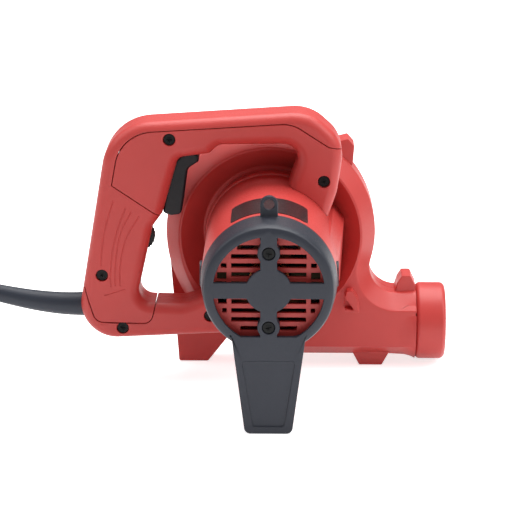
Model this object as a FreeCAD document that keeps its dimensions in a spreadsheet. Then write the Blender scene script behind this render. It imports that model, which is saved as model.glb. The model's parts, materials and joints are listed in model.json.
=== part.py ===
# A corded hand-held electric blower: a universal motor in a round barrel drives a closed
# fan in a scroll housing, and a D-shaped handle joins the barrel at the top and the bottom.
#
# Every piece is modelled round the motor axis: X runs along the outlet, Y along the shaft
# from the motor's rear cover towards the fan, Z up. The frame values in the sheet then lift
# the machine onto the floor, with the origin at the middle of its base.

import FreeCAD, Part
import math
import os
import Sketcher
from FreeCAD import Placement, Rotation, Vector

SIZES = [
    # where the motor axis stands in the part's frame
    ("axis_x", 3.2), ("cover_face_y", -84.6), ("axis_height", 94.8),
    # rear cover with its stand and hanging tab
    ("cover_front_radius", 41.2), ("cover_depth", 21.3), ("cover_wall", 2.6),
    ("cover_edge", 3.6), ("opening_radius", 34.6), ("hub_radius", 14.4),
    ("spoke_width", 10.4), ("cover_boss_radius", 7.0),
    ("cover_screw_offset", 24.0), ("screw_recess_radius", 4.1), ("screw_recess_depth", 2.2),
    ("tab_width", 11.0), ("tab_thickness", 3.4), ("tab_hole_height", 50.4),
    ("tab_hole_radius", 3.3), ("stand_top_half", 23.2), ("stand_foot_half", 14.9),
    ("stand_top", -30.0), ("stand_depth", 18.0), ("stand_wall", 2.6), ("stand_corner", 4.0),
    ("panel_margin", 5.0), ("panel_depth", 0.8),
    # motor barrel and the end grille behind the cover
    ("barrel_radius", 43.1), ("barrel_wall", 2.6), ("barrel_end", 134.0), ("plug_in", 6.0),
    ("grille_y", 8.0), ("grille_thickness", 2.6), ("slot_pitch", 5.87), ("slot_offset", 2.3), ("slot_height", 2.8),
    ("slot_rib_x", 24.8), ("slot_rib_width", 2.9), ("grille_reach", 36.0),
    ("bulge_proud", 7.3), ("bulge_start", 46.0), ("fit", 0.05),
    # scroll housing
    ("rim_y", 119.0), ("dish_width", 17.5), ("dish_floor_width", 2.9),
    ("seam_y", 143.0), ("far_y", 167.0), ("scroll_radius", 71.0), ("scroll_bottom", 87.6),
    ("shell_wall", 2.6), ("band_width", 9.2), ("band_depth", 12.5), ("tongue_radius", 19.0),
    ("duct_top", 43.5), ("duct_bore", 18.8), ("outlet_drop", 66.9),
    ("collar_start", 97.8), ("collar_end", 120.0), ("collar_radius", 26.5),
    ("collar_bore", 23.4), ("collar_edge", 2.0),
    ("intake_radius", 38.0), ("intake_ring", 43.0), ("intake_ring_width", 3.0),
    ("intake_bar", 2.4),
    # rotor
    ("shaft_radius", 4.0), ("shaft_rear", 13.0), ("shaft_front", 163.0),
    ("running", 0.06), ("core_radius", 21.5), ("core_start", 52.0), ("core_length", 42.0),
    ("air_gap", 0.6), ("stator_clearance", 2.5), ("commutator_radius", 12.5),
    ("commutator_y", 30.0), ("commutator_length", 14.0),
    ("rear_bearing_radius", 9.5), ("rear_bearing_width", 6.0),
    ("front_bearing_radius", 13.0), ("front_bearing_width", 8.0), ("front_bearing_y", 121.0),
    ("fan_radius", 57.0), ("fan_back_y", 140.0), ("fan_plate", 1.6), ("fan_width", 17.0),
    ("fan_eye", 34.0), ("blade_thickness", 1.6), ("fan_hub_radius", 12.0), ("blade_lean", 38.0),
    # handle
    ("handle_mid_y", 107.9), ("handle_half", 16.5), ("handle_round", 7.0),
    ("screw_hole_radius", 4.1), ("screw_hole_depth", 4.0), ("cavity_half", 9.1),
    ("trigger_half", 8.7), ("trigger_pin_x", -60.0), ("trigger_pin_z", 66.5),
    ("pin_radius", 2.0),
    ("dial_x", -86.3), ("dial_z", 4.0), ("dial_radius", 9.2), ("dial_half", 3.8),
    ("dial_pin_radius", 1.6), ("lock_x", -92.0), ("lock_z", 66.0), ("lock_radius", 5.0),
    ("lock_proud", 3.0),
    # brushes
    ("brush_y", 37.0), ("brush_width", 7.0), ("brush_height", 10.0), ("brush_length", 13.0),
    ("brush_tube_wall", 1.0), ("cap_radius", 8.0), ("cap_proud", 0.9),
    # mains cord
    ("cord_radius", 3.75), ("guard_root_radius", 8.0), ("guard_tip_radius", 5.4),
    ("coil_x", -266.0), ("coil_y", 194.0), ("coil_radius", 56.0), ("coil_pitch", 9.6),
    ("coil_rise", 8.9), ("tail_length", 44.0), ("plug_length", 34.0),
    ("pin_length", 19.0), ("pin_spacing", 19.0), ("plug_pin_radius", 2.4),
]

doc = FreeCAD.newDocument("Blower")
sheet = doc.addObject("Spreadsheet::Sheet", "Sizes")
for row, (alias, value) in enumerate(SIZES, start=1):
    sheet.set(f"A{row}", alias)
    sheet.set(f"B{row}", str(value))
    sheet.setAlias(f"B{row}", alias)
doc.recompute()

parts = []


def size(alias):
    return float(sheet.get(alias))


def dish_radius():
    return size("barrel_radius") + size("dish_width")


def dish_floor_radius():
    return size("barrel_radius") + size("dish_floor_width")


def stator_radius():
    return size("barrel_radius") - size("barrel_wall") - size("stator_clearance")


def into_frame(piece, label):
    """Stand a finished piece on the floor and remember it as a node."""
    piece.Label = label
    piece.setExpression("Placement.Base.x", "Sizes.axis_x")
    piece.setExpression("Placement.Base.y", "Sizes.cover_face_y")
    piece.setExpression("Placement.Base.z", "Sizes.axis_height")
    parts.append(piece)
    return piece


def shaped(label, shape):
    """A piece whose form is computed here from the sheet's values."""
    matrix = shape.Placement.toMatrix()
    fixed = shape.copy()
    fixed.Placement = Placement()
    piece = doc.addObject("Part::Feature", label)
    piece.Shape = fixed.transformed(matrix, copy=True)
    return into_frame(piece, label)


# shapes round an axis parallel to Y, or along X

def disc(radius, y0, y1, x=0, z=0):
    return Part.makeCylinder(radius, y1 - y0, Vector(x, y0, z), Vector(0, 1, 0))


def ring(outer, inner, y0, y1, x=0, z=0):
    return disc(outer, y0, y1, x, z).cut(disc(inner, y0 - 1, y1 + 1, x, z))


def cone(r0, r1, y0, y1, x=0, z=0):
    return Part.makeCone(r0, r1, y1 - y0, Vector(x, y0, z), Vector(0, 1, 0))


def rod(radius, x0, x1, y, z):
    return Part.makeCylinder(radius, x1 - x0, Vector(x0, y, z), Vector(1, 0, 0))


def block(x0, x1, y0, y1, z0, z1):
    return Part.makeBox(x1 - x0, y1 - y0, z1 - z0, Vector(x0, y0, z0))


def rounded_wire(corners, y=0.0):
    """Closed outline in an XZ plane: each corner is (x, z, radius of its arc)."""
    points = [Vector(x, y, z) for x, z, _ in corners]
    starts = []
    ends = []
    edges = []
    count = len(points)
    for i in range(count):
        here = points[i]
        back = (points[i - 1] - here).normalize()
        ahead = (points[(i + 1) % count] - here).normalize()
        radius = corners[i][2]
        half = back.getAngle(ahead) / 2
        reach = radius / math.tan(half) if radius else 0.0
        starts.append(here + back * reach)
        ends.append(here + ahead * reach)
        if radius:
            bisector = (back + ahead).normalize()
            middle = here + bisector * (radius / math.sin(half) - radius)
            edges.append(Part.Arc(starts[i], middle, ends[i]).toShape())
        else:
            edges.append(None)
    wire = []
    for i in range(count):
        if edges[i]:
            wire.append(edges[i])
        start = ends[i]
        end = starts[(i + 1) % count]
        if start.distanceToPoint(end) > 1e-4:
            wire.append(Part.LineSegment(start, end).toShape())
    return Part.Wire(Part.__sortEdges__(wire))


def slab(corners, y0, y1):
    """A plate of that outline from depth y0 to y1."""
    return Part.Face(rounded_wire(corners, y0)).extrude(Vector(0, y1 - y0, 0))


# PartDesign helpers: sketches on the body's own origin planes, corners bound to the sheet

def new_body(label):
    return doc.addObject("PartDesign::Body", label)


def plane_sketch(body, name, role, depth=None):
    sketch = body.newObject("Sketcher::SketchObject", name)
    plane = [f for f in body.Origin.OriginFeatures if f.Role == role][0]
    sketch.AttachmentSupport = [(plane, "")]
    sketch.MapMode = "FlatFace"
    if depth:
        sign = "-1 * " if role == "XZ_Plane" else ""
        sketch.setExpression("AttachmentOffset.Base.z", f"{sign}({depth})")
    return sketch


def polygon(sketch, corners):
    """Closed polygon whose corners are pairs of expressions over the sheet."""
    places = [Vector(sheet_value(u), sheet_value(v), 0) for u, v in corners]
    count = len(places)
    first = sketch.GeometryCount
    for i in range(count):
        sketch.addGeometry(Part.LineSegment(places[i], places[(i + 1) % count]))
    for i in range(count):
        line = first + i
        following = first + (i + 1) % count
        sketch.addConstraint(Sketcher.Constraint("Coincident", line, 2, following, 1))
    for i, (u, v) in enumerate(corners):
        for kind, text, number in (("DistanceX", u, places[i].x), ("DistanceY", v, places[i].y)):
            new = Sketcher.Constraint(kind, -1, 1, first + i, 1, number)
            index = sketch.addConstraint(new)
            sketch.setExpression(f"Constraints[{index}]", text)


def sheet_value(text):
    value = sheet.evalExpression(text.replace("Sizes.", ""))
    return float(getattr(value, "Value", value))


def revolve(body, name, sketch):
    feature = body.newObject("PartDesign::Revolution", name)
    feature.Profile = sketch
    feature.ReferenceAxis = (sketch, ["V_Axis"])
    feature.Angle = 360
    return feature


def pad(body, name, sketch, length, away=True):
    """Thicken a sketch; away=True runs from the viewer towards the fan, along +Y."""
    feature = body.newObject("PartDesign::Pad", name)
    feature.Profile = sketch
    feature.Reversed = away
    feature.setExpression("Length", length)
    return feature


def pocket(body, name, sketch, length, away=True):
    feature = body.newObject("PartDesign::Pocket", name)
    feature.Profile = sketch
    feature.Reversed = not away
    feature.setExpression("Length", length)
    return feature


def polar(body, name, features, count, axis="Y_Axis"):
    pattern = body.newObject("PartDesign::PolarPattern", name)
    pattern.Originals = features
    line = [f for f in body.Origin.OriginFeatures if f.Role == axis][0]
    pattern.Axis = (line, [""])
    pattern.Angle = 360
    pattern.Occurrences = count
    body.Tip = pattern
    return pattern


# rear cover: a cup with four openings round a hub, the stand below and the tab above

def rear_cover():
    body = new_body("cover_cup")
    front = "Sizes.cover_front_radius"
    back = "Sizes.barrel_radius"
    wall = "Sizes.cover_wall"
    edge = "Sizes.cover_edge"
    profile = plane_sketch(body, "CupProfile", "XY_Plane")
    polygon(profile, [
        ("0", "0"),
        (f"{front} - {edge}", "0"),
        (f"{front} - 0.3 * {edge}", f"0.3 * {edge}"),
        (front, edge),
        (back, "Sizes.cover_depth"),
        (f"{back} - {wall}", "Sizes.cover_depth"),
        (f"{front} - {wall}", edge),
        (f"{front} - {edge}", wall),
        ("0", wall),
    ])
    revolve(body, "Cup", profile)
    opening = plane_sketch(body, "OpeningProfile", "XZ_Plane", "-1")
    half = size("spoke_width") / 2
    ends = []
    arcs = []
    for alias in ("opening_radius", "hub_radius"):
        radius = size(alias)
        low = Vector(math.sqrt(radius ** 2 - half ** 2), half, 0)
        high = Vector(half, low.x, 0)
        turn = math.atan2(half, low.x)
        round_piece = Part.Circle(Vector(), Vector(0, 0, 1), radius)
        arcs.append(Part.ArcOfCircle(round_piece, turn, math.pi / 2 - turn))
        ends.append((low, high))
    opening.addGeometry(arcs[0])
    opening.addGeometry(Part.LineSegment(ends[0][1], ends[1][1]))
    opening.addGeometry(arcs[1])
    opening.addGeometry(Part.LineSegment(ends[1][0], ends[0][0]))
    joints = ((0, 2, 1, 1), (1, 2, 2, 2), (2, 1, 3, 1), (3, 2, 0, 1))
    for first, end, second, start in joints:
        opening.addConstraint(Sketcher.Constraint("Coincident", first, end, second, start))
    opening.addConstraint(Sketcher.Constraint("Coincident", 0, 3, -1, 1))
    opening.addConstraint(Sketcher.Constraint("Coincident", 2, 3, -1, 1))
    opening.addConstraint(Sketcher.Constraint("Vertical", 1))
    opening.addConstraint(Sketcher.Constraint("Horizontal", 3))
    for constraint, text in (
            (Sketcher.Constraint("Radius", 0, size("opening_radius")), "Sizes.opening_radius"),
            (Sketcher.Constraint("Radius", 2, size("hub_radius")), "Sizes.hub_radius"),
            (Sketcher.Constraint("DistanceX", -1, 1, 1, 1, half), "Sizes.spoke_width / 2"),
            (Sketcher.Constraint("DistanceY", -1, 1, 3, 1, half), "Sizes.spoke_width / 2")):
        at = opening.addConstraint(constraint)
        opening.setExpression(f"Constraints[{at}]", text)
    doc.recompute()
    window = pocket(body, "Window", opening, f"{wall} + 3")
    polar(body, "Windows", [window], 4)
    doc.recompute()
    return body


def cover_details(cup):
    """The stand, the tab and the two screw bosses, fused with the cup."""
    wall = size("cover_wall")
    top = size("stand_top")
    floor = -size("axis_height")
    depth = size("stand_depth")
    wide = size("stand_top_half")
    narrow = size("stand_foot_half")
    corner = size("stand_corner")
    outline = [(-wide, top, 0), (-narrow, floor, corner), (narrow, floor, corner), (wide, top, 0)]
    leg = slab(outline, 0, depth)
    side = size("stand_wall")
    hollow = [(-wide + side, top - 8, 0), (-narrow + side, floor + side, corner - side / 2),
              (narrow - side, floor + side, corner - side / 2), (wide - side, top - 8, 0)]
    leg = leg.cut(slab(hollow, side, depth + 1))
    margin = size("panel_margin")
    lift = size("cover_front_radius") + 5
    inset = [(-wide + margin + 1.5, -lift, 2), (-narrow + margin, floor + margin, 2),
             (narrow - margin, floor + margin, 2), (wide - margin - 1.5, -lift, 2)]
    leg = leg.cut(slab(inset, -1, size("panel_depth")))
    for height in (0.42, 0.7):
        level = top + (floor - top) * height
        reach = wide + (narrow - wide) * height - side + 0.3
        leg = leg.fuse(block(-reach, reach, side - 0.3, depth - 3, level, level + 1.8))
    inside = disc(size("barrel_radius") - wall, wall + 0.01, depth + 8)
    leg = leg.cut(inside)
    half = size("tab_width") / 2
    back = size("cover_depth")
    front = back - size("tab_thickness")
    height = size("tab_hole_height")
    tab = block(-half, half, front, back, size("barrel_radius") - wall / 2, height)
    tab = tab.fuse(disc(half, front, back, 0, height))
    tab = tab.cut(disc(size("tab_hole_radius"), front - 1, back + 1, 0, height))
    shape = cup.fuse(leg).fuse(tab)
    offset = size("cover_screw_offset")
    for z in (offset, -offset):
        boss = disc(size("cover_boss_radius"), 0, size("grille_y"), 0, z)
        shape = shape.fuse(boss)
    for z in (offset, -offset):
        shape = shape.cut(disc(size("screw_recess_radius"), -1, size("screw_recess_depth"), 0, z))
        shape = shape.cut(disc(1.7, -1, size("grille_y") + 1, 0, z))
    return shape.removeSplitter()


def tie(label, body, *details):
    """A piece made of a PartDesign body and what is moulded on it."""
    doc.recompute()
    shape = body.Shape.copy()
    for detail in details:
        shape = detail(shape)
    return shaped(label, shape)


def screw(x, y0, y1, z, head_radius, head, shank):
    """Cross-head screw along Y: the head's top lies at y0, its point at y1."""
    solid = disc(head_radius, y0, y0 + head, x, z).fuse(disc(shank, y0 + head - 0.1, y1, x, z))
    solid = solid.fuse(cone(shank, 0.4, y1 - 0.01, y1 + 1.2, x, z))
    arm = head_radius * 0.62
    for w, h in ((arm, 0.45), (0.45, arm)):
        solid = solid.cut(block(x - w, x + w, y0 - 1, y0 + head * 0.55, z - h, z + h))
    return solid


# motor: barrel, end grille, stator, bearings and brush gear

def motor_housing():
    body = new_body("barrel_body")
    outer = "Sizes.barrel_radius"
    wall = "Sizes.barrel_wall"
    profile = plane_sketch(body, "BarrelProfile", "XY_Plane")
    polygon(profile, [
        (f"{outer} - {wall}", "Sizes.cover_depth + 0.05"),
        (outer, "Sizes.cover_depth + 0.05"),
        (outer, "Sizes.barrel_end - Sizes.fit"),
        (f"{outer} - {wall}", "Sizes.barrel_end - Sizes.fit"),
    ])
    revolve(body, "Barrel", profile)
    spigot = plane_sketch(body, "SpigotProfile", "XY_Plane")
    inner = f"{outer} - {wall}"
    polygon(spigot, [
        (f"{inner} - 2.2", "Sizes.cover_depth - Sizes.plug_in"),
        (f"{inner} - 0.8", "Sizes.cover_depth - Sizes.plug_in"),
        (f"{inner} - 0.1", "Sizes.cover_depth"),
        (f"{inner} + 0.4", "Sizes.cover_depth + 0.05"),
        (f"{inner} + 0.4", "Sizes.cover_depth + 4"),
        (f"{inner} - 2.2", "Sizes.cover_depth + 2"),
    ])
    revolve(body, "Spigot", spigot)
    return body


def barrel_details(shape):
    """Flat-sided bulge that widens towards the fan, and the brush openings."""
    radius = size("barrel_radius")
    half = radius + size("bulge_proud")
    start = size("bulge_start")
    end = size("barrel_end") - size("fit")
    slim = [(30, -30, 0), (31, -29, 0), (radius - 0.3, -6, 0), (radius - 0.3, 4, 0),
            (0.88 * radius, 0.44 * radius, 0), (30, 19, 0)]
    wide = [(30, -44, 0), (half - 9, -43.4, 0), (half - 2.4, -35, 0), (half, 11, 0),
            (0.85 * half, 19.6, 0), (30, 19.6, 0)]
    bulge = Part.makeLoft([rounded_wire(slim, start), rounded_wire(wide, end)], True, True)
    dish = cone(dish_radius() - 0.3, dish_floor_radius() - 0.3, size("rim_y") - 0.3, end)
    room = disc(90, 0, size("rim_y") - 0.3).fuse(dish)
    bulge = bulge.common(room).cut(disc(radius - 1, 0, end + 1))
    shape = shape.fuse(bulge)
    shape = shape.cut(disc(1.8, end - 12, end + 1, 0.92 * half, 6))
    y = size("brush_y")
    width = size("brush_width") / 2 + size("brush_tube_wall") + size("fit")
    tall = size("brush_height") / 2 + size("brush_tube_wall") + size("fit")
    shape = shape.cut(block(-radius - 5, radius + 5, y - width, y + width, -tall, tall))
    for side in (-1, 1):
        seat = rod(size("cap_radius") + 0.1, radius - 2.4, radius + 6, y, 0)
        if side < 0:
            seat = rod(size("cap_radius") + 0.1, -radius - 6, -radius + 2.4, y, 0)
        shape = shape.cut(seat)
    return shape.removeSplitter()


def end_grille():
    reach = size("barrel_radius") - size("barrel_wall") - 2.3
    y0 = size("grille_y")
    y1 = y0 + size("grille_thickness")
    plate = disc(reach, y0, y1)
    rim = ring(reach, reach - 2.4, y0, size("cover_depth") + 4)
    rib = size("slot_rib_x")
    rib_half = size("slot_rib_width") / 2
    pitch = size("slot_pitch")
    high = size("slot_height") / 2
    limit = size("grille_reach") - 2.5
    slots = []
    for row in range(-5, 6):
        z = row * pitch + size("slot_offset")
        if abs(z) + high > limit:
            continue
        width = math.sqrt(limit ** 2 - (abs(z) + high) ** 2)
        inner = min(rib - rib_half, width)
        slots.append(block(-inner, inner, y0 - 1, y1 + 1, z - high, z + high))
        if width > rib + rib_half + 2:
            for side in (-1, 1):
                x = sorted((side * (rib + rib_half), side * width))
                tall = {1: 0.9 * high, -2: -0.9 * high}.get(row, 0)
                level = sorted((z - high - max(tall, 0) * 1.5, z + high - min(tall, 0) * 1.5))
                slots.append(block(x[0], x[1], y0 - 1, y1 + 1, level[0], level[1]))
    for slot in slots:
        plate = plate.cut(slot)
    seat_wall = 2.4
    bearing = size("rear_bearing_radius")
    deep = size("shaft_rear") + 1.5 + size("rear_bearing_width")
    hub = disc(bearing + seat_wall, y0, deep)
    for z in (size("cover_screw_offset"), -size("cover_screw_offset")):
        hub = hub.fuse(disc(4.2, y0, y0 + 12, 0, z))
    shape = plate.fuse(rim).fuse(hub)
    shape = shape.cut(disc(bearing + size("fit"), size("shaft_rear") + 1.5, deep + 1))
    shape = shape.cut(disc(bearing - 2, size("shaft_rear") - 1, deep))
    for z in (size("cover_screw_offset"), -size("cover_screw_offset")):
        shape = shape.cut(disc(1.7, y0 - 1, y0 + 13, 0, z))
    return shape.removeSplitter()


def bearing_bracket():
    """Plate with a cup for the front bearing, held in the barrel before the fan."""
    reach = size("barrel_radius") - size("barrel_wall") - size("fit")
    y = size("front_bearing_y")
    width = size("front_bearing_width")
    seat = size("front_bearing_radius")
    plate = disc(reach, y + width, size("barrel_end") - size("fit"))
    plate = plate.fuse(ring(seat + 3, seat + size("fit"), y, y + width + 0.1))
    plate = plate.cut(disc(size("shaft_radius") + 1.2, y, size("barrel_end") + 1))
    for turn in range(6):
        angle = math.radians(30 + 60 * turn)
        x = 28 * math.cos(angle)
        z = 28 * math.sin(angle)
        plate = plate.cut(disc(7, y, size("barrel_end") + 1, x, z))
    return plate


def bearing(radius, y, width):
    """Sealed ball bearing as one ring with a step where its shields lie."""
    bore = size("shaft_radius") + size("running")
    body = ring(radius, bore, y, y + width)
    groove = ring(radius * 0.82, bore + 1.6, y - 1, y + 0.4)
    back = ring(radius * 0.82, bore + 1.6, y + width - 0.4, y + width + 1)
    return body.cut(groove).cut(back)


def stator():
    inner = size("core_radius") + size("air_gap")
    start = size("core_start")
    end = start + size("core_length")
    outer = stator_radius()
    core = disc(outer, start, end).cut(disc(inner, start - 1, end + 1))
    for side in (-1, 1):
        x = sorted((side * (inner + 1), side * (outer - 5)))
        for z in (-1, 1):
            band = sorted((z * 9, z * 19))
            core = core.cut(block(x[0], x[1], start - 1, end + 1, band[0], band[1]))
    return core


def field_coils():
    """Two copper coils laid in the stator's slots, seen from the ends as flat loops."""
    inner = size("core_radius") + size("air_gap") + 1.4
    outer = stator_radius() - 5.4
    start = size("core_start") - 8
    end = size("core_start") + size("core_length") + 8
    coils = []
    for z in (-1, 1):
        legs = []
        for side in (-1, 1):
            x = sorted((side * inner, side * outer))
            band = sorted((z * 9.4, z * 18.6))
            legs.append(block(x[0], x[1], start, end, band[0], band[1]))
        for y in (start, end - 7):
            band = sorted((z * 9.4, z * 18.6))
            across = block(-inner - 0.1, inner + 0.1, y, y + 7, band[0], band[1])
            legs.append(across.cut(disc(inner, start - 1, end + 1)))
            arch = disc(outer, y, y + 7).cut(disc(inner, y - 1, y + 8))
            keep = block(-outer, outer, y, y + 7, *sorted((z * 18, z * 34)))
            legs.append(arch.common(keep))
        coil = legs[0]
        for leg in legs[1:]:
            coil = coil.fuse(leg)
        coils.append(coil.removeSplitter())
    return Part.makeCompound([solid for coil in coils for solid in coil.Solids])


def brush_gear():
    """Holder tubes, carbon brushes and screwed caps on both sides of the commutator."""
    y = size("brush_y")
    half = size("brush_width") / 2
    tall = size("brush_height") / 2
    wall = size("brush_tube_wall")
    start = size("commutator_radius") + 1.4
    end = size("barrel_radius") - 2.4
    tubes = []
    brushes = []
    caps = []
    for side in (-1, 1):
        x = sorted((side * start, side * (end - 0.1)))
        tube = block(x[0], x[1], y - half - wall, y + half + wall, -tall - wall, tall + wall)
        tube = tube.cut(block(x[0] - 1, x[1] + 1, y - half, y + half, -tall, tall))
        tubes.append(tube)
        near = size("commutator_radius") + 0.15
        x = sorted((side * near, side * (near + size("brush_length"))))
        slack = size("fit")
        brush = block(x[0], x[1], y - half + slack, y + half - slack, -tall + slack, tall - slack)
        brushes.append(brush.cut(disc(near + 0.05, y - 10, y + 10)))
        first = size("barrel_radius") - 2.3
        last = size("barrel_radius") + size("cap_proud")
        x = sorted((side * first, side * last))
        cap = rod(size("cap_radius"), x[0], x[1], y, 0)
        slot = sorted((side * (last - 1.0), side * (last + 1)))
        caps.append(cap.cut(block(slot[0], slot[1], y - 0.8, y + 0.8, -6, 6)))
    shaped("brush_holders", Part.makeCompound(tubes))
    shaped("carbon_brushes", Part.makeCompound(brushes))
    shaped("brush_caps", Part.makeCompound(caps))


# rotor: shaft, wound core, commutator, fan, washer and nut

def rotor():
    radius = size("shaft_radius")
    shaft = disc(radius, size("shaft_rear"), size("shaft_front"))
    shaped("armature_shaft", shaft)
    start = size("core_start")
    length = size("core_length")
    core = disc(size("core_radius"), start, start + length)
    for turn in range(12):
        angle = math.radians(turn * 30)
        slot = block(-1.3, 1.3, start - 1, start + length + 1, size("core_radius") - 5, 40)
        slot.rotate(Vector(), Vector(0, 1, 0), math.degrees(angle))
        core = core.cut(slot)
    core = core.cut(disc(radius, start - 1, start + length + 1))
    shaped("armature_core", core)
    ends = []
    for y0, y1 in ((start - 8, start - 0.02), (start + length + 0.02, start + length + 8)):
        bun = ring(size("core_radius") - 3.5, radius, y0, y1)
        ends.append(bun)
    shaped("armature_windings", Part.makeCompound(ends))
    y = size("commutator_y")
    drum = ring(size("commutator_radius"), radius, y, y + size("commutator_length") - 0.02)
    for turn in range(12):
        bar = block(-0.3, 0.3, y - 1, y + size("commutator_length"), size("commutator_radius") - 0.8, 40)
        bar.rotate(Vector(), Vector(0, 1, 0), turn * 30)
        drum = drum.cut(bar)
    shaped("commutator", drum)


def fan():
    """Closed fan: back plate, lean blades from the eye to the rim and a front shroud."""
    body = new_body("fan_body")
    back = "Sizes.fan_back_y"
    profile = plane_sketch(body, "PlateProfile", "XY_Plane")
    polygon(profile, [
        ("Sizes.shaft_radius", back),
        ("Sizes.fan_radius", back),
        ("Sizes.fan_radius", f"{back} + Sizes.fan_plate"),
        ("Sizes.fan_hub_radius + 3", f"{back} + Sizes.fan_plate"),
        ("Sizes.fan_hub_radius", f"{back} + Sizes.fan_plate + 3"),
        ("Sizes.fan_hub_radius - 1", f"{back} + Sizes.fan_width - 1.5"),
        ("Sizes.shaft_radius", f"{back} + Sizes.fan_width - 1.5"),
    ])
    revolve(body, "Plate", profile)
    lean = f"Sizes.blade_lean"
    blade = plane_sketch(body, "BladeProfile", "XZ_Plane", f"{back} + Sizes.fan_plate - 0.2")
    thick = "Sizes.blade_thickness"
    tip_x = f"(Sizes.fan_radius - 0.4) * cos({lean})"
    tip_z = f"(Sizes.fan_radius - 0.4) * sin({lean})"
    polygon(blade, [
        ("Sizes.fan_hub_radius - 2", "0"),
        ("Sizes.fan_eye - 4", "1.5"),
        (f"({tip_x} + Sizes.fan_eye) / 2 + 2", f"{tip_z} / 2 - 3"),
        (tip_x, tip_z),
        (f"{tip_x} - {thick} * sin({lean} + 18)", f"{tip_z} + {thick} * cos({lean} + 18)"),
        (f"({tip_x} + Sizes.fan_eye) / 2 + 2 - {thick} * 0.7",
         f"{tip_z} / 2 - 3 + {thick} * 0.75"),
        ("Sizes.fan_eye - 4", f"1.5 + {thick}"),
        ("Sizes.fan_hub_radius - 2", thick),
    ])
    doc.recompute()
    vane = pad(body, "Vane", blade, "Sizes.fan_width - Sizes.fan_plate - 1.3")
    polar(body, "Vanes", [vane], 9)
    doc.recompute()
    shroud = plane_sketch(body, "ShroudProfile", "XY_Plane")
    front = f"{back} + Sizes.fan_width"
    polygon(shroud, [
        ("Sizes.fan_eye", f"{front} - 1.5"),
        ("Sizes.fan_radius", f"{front} - 1.5"),
        ("Sizes.fan_radius", front),
        ("Sizes.fan_eye", front),
    ])
    revolve(body, "Shroud", shroud)
    doc.recompute()
    into_frame(body, "fan")


def fan_fixings():
    radius = size("shaft_radius")
    top = size("fan_back_y") + size("fan_width") - 1.5
    shaped("fan_washer", ring(7.0, radius, top, top + 1.2))
    corners = []
    for turn in range(6):
        angle = math.radians(60 * turn)
        corners.append((6.4 * math.cos(angle), 6.4 * math.sin(angle), 0))
    nut = slab(corners, top + 1.2, top + 1.2 + 4.0).cut(disc(radius, top, top + 8))
    shaped("fan_nut", nut)


# scroll housing in two halves, parted across the shaft at seam_y

def scroll_face(inset, y, end):
    """The scroll and its duct, drawn inset from the outside: top circle, wider lower left
    quarter, flat bottom and the tongue's hollow where the circle meets the duct."""
    radius = size("scroll_radius") - inset
    bottom = size("scroll_bottom") - inset
    shift = size("scroll_bottom") - size("scroll_radius")
    hollow = size("tongue_radius")
    middle_z = hollow - size("duct_top")
    middle_x = math.sqrt((size("scroll_radius") + hollow) ** 2 - middle_z ** 2)
    turn = math.atan2(middle_z, middle_x)
    join = Vector(radius * math.cos(turn), y, radius * math.sin(turn))
    over = (turn + math.pi) / 2
    top = Vector(radius * math.cos(over), y, radius * math.sin(over))
    left = Vector(-radius, y, 0)
    lower = Vector(shift - bottom * math.sqrt(0.5), y, -bottom * math.sqrt(0.5))
    base = Vector(shift, y, -bottom)
    roof_z = -size("duct_top") - inset
    roof = Vector(middle_x, y, roof_z)
    hollow += inset
    dip_turn = (math.pi + turn + 1.5 * math.pi) / 2
    dip = Vector(middle_x + hollow * math.cos(dip_turn), y, middle_z + hollow * math.sin(dip_turn))
    edges = [
        Part.Arc(join, top, left).toShape(),
        Part.Arc(left, lower, base).toShape(),
        Part.LineSegment(base, Vector(end, y, -bottom)).toShape(),
        Part.LineSegment(Vector(end, y, -bottom), Vector(end, y, roof_z)).toShape(),
        Part.LineSegment(Vector(end, y, roof_z), roof).toShape(),
        Part.Arc(roof, dip, join).toShape(),
    ]
    return Part.Wire(edges)


def scroll_solid(spread=0.0):
    """Outside of both halves; spread widens it where a neighbour is cut to clear it."""
    end = size("collar_start") + 2
    front = size("rim_y") - spread
    back = size("far_y") + spread
    deep = size("band_depth")
    narrow = scroll_face(size("band_width") - spread, front, end)
    wide = scroll_face(-spread, front + deep, end)
    solid = Part.makeLoft([narrow, wide], True, True)
    wide = scroll_face(-spread, front + deep, end)
    solid = solid.fuse(Part.Face(wide).extrude(Vector(0, back - front - 2 * deep, 0)))
    wide = scroll_face(-spread, back - deep, end)
    narrow = scroll_face(size("band_width") - spread, back, end)
    return solid.fuse(Part.makeLoft([wide, narrow], True, True))


def lug(angle):
    """Screw lug on the rim: a lopsided five-sided ear standing off the scroll."""
    radius = size("scroll_radius")
    ear = slab([(radius - 6, -10, 0), (radius + 0.5, -10, 1), (radius + 10.5, -2.2, 1.5),
                (radius + 11.4, 4.6, 1.5), (radius + 4.0, 9.4, 1), (radius - 6, 9, 0)],
               size("seam_y") - 9, size("seam_y") + 9)
    ear.rotate(Vector(), Vector(0, 1, 0), -angle)
    return ear


def lug_places():
    places = []
    radius = size("scroll_radius") + 5.2
    for angle in (48, 118):
        turn = math.radians(angle)
        places.append((radius * math.cos(turn), radius * math.sin(turn)))
    places.append((size("collar_start") - 5.3, -size("duct_top") + 6.0))
    places.append((-56.5, -84.0))
    return places


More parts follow.
